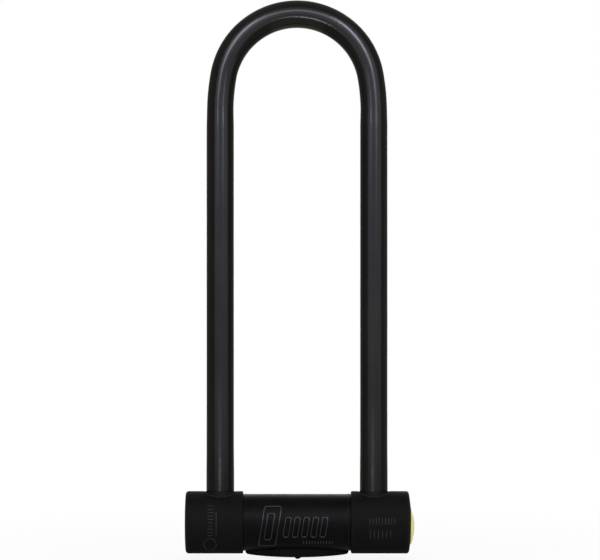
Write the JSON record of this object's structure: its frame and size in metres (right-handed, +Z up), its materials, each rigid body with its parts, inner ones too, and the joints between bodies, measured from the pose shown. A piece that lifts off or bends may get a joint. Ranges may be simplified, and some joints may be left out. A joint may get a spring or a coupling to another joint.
{
  "type": "u lock",
  "caption": "Tall bicycle u lock: a vinyl covered bent steel shackle whose two feet stand in a round crossbar with end collars, a keyway bezel underneath and two sliding deadbolts.",
  "frame": {"origin": "on the crossbar's axis, midway between the shackle's two legs", "axes": "+X along the crossbar towards the yellow end cap, +Y to the back, +Z up along the shackle's legs"},
  "size_m": [0.1536, 0.0418, 0.3742],
  "materials": {
    "hardened_steel": "hardened boron steel, dull grey",
    "vinyl": "smooth black vinyl with a soft gloss",
    "seal_rubber": "matte black rubber",
    "collar_plastic": "matte black moulded plastic with a fine grain",
    "sleeve_plastic": "black moulded plastic, satin",
    "bezel_plastic": "black moulded plastic, satin",
    "yellow_plastic": "pale yellow moulded plastic",
    "cast_zinc": "die cast zinc, as cast",
    "plain_steel": "bright spring steel",
    "bolt_steel": "ground and hardened steel",
    "brass": "machined brass"
  },
  "bodies": {
    "body": {"left_leg_seal": "seal_rubber", "right_leg_seal": "seal_rubber", "left_collar": "collar_plastic", "right_collar": "collar_plastic", "centre_sleeve": "sleeve_plastic", "crossbar_tube": "hardened_steel", "left_end_block": "cast_zinc", "right_end_block": "cast_zinc", "end_block_pins": "plain_steel", "end_cap": "yellow_plastic", "left_bolt_guide": "cast_zinc", "right_bolt_guide": "cast_zinc", "guide_pins": "plain_steel", "cam_washer": "plain_steel", "cylinder_housing": "brass", "housing_pins": "plain_steel", "cylinder_o_ring": "seal_rubber", "keyway_bezel": "bezel_plastic"},
    "shackle": {"shackle": "hardened_steel", "shackle_sleeve": "vinyl"},
    "cylinder": {"cylinder_barrel": "brass", "front_disc": "bolt_steel", "detainer_discs": "brass", "spacer_washers": "plain_steel", "sidebar": "bolt_steel", "barrel_circlip": "plain_steel", "scroll_cam": "brass"},
    "left_bolt": {"left_bolt": "bolt_steel", "left_bolt_pin": "plain_steel"},
    "right_bolt": {"right_bolt": "bolt_steel", "right_bolt_pin": "plain_steel"},
    "shutter": {"dust_shutter": "bezel_plastic"}
  },
  "joints": [
    {"name": "shackle_slide", "type": "slide", "parent": "body", "child": "shackle", "axis": [0, 0, 1], "range_m": [0, 0.06]},
    {"name": "key_turn", "type": "hinge", "parent": "body", "child": "cylinder", "pos_m": [0, 0, 0], "axis": [0, 0, 1], "range_deg": [0, 90]},
    {"name": "left_bolt_slide", "type": "slide", "parent": "body", "child": "left_bolt", "axis": [-1, 0, 0], "range_m": [0, 0.0055]},
    {"name": "right_bolt_slide", "type": "slide", "parent": "body", "child": "right_bolt", "axis": [1, 0, 0], "range_m": [0, 0.0055]},
    {"name": "shutter_slide", "type": "slide", "parent": "body", "child": "shutter", "axis": [1, 0, 0], "range_m": [0, 0.0121]}
  ],
  "couplings": [
    {"joint": "key_turn", "follows": "left_bolt_slide", "rad_per_m": 285.6},
    {"joint": "right_bolt_slide", "follows": "left_bolt_slide", "ratio": 1}
  ]
}
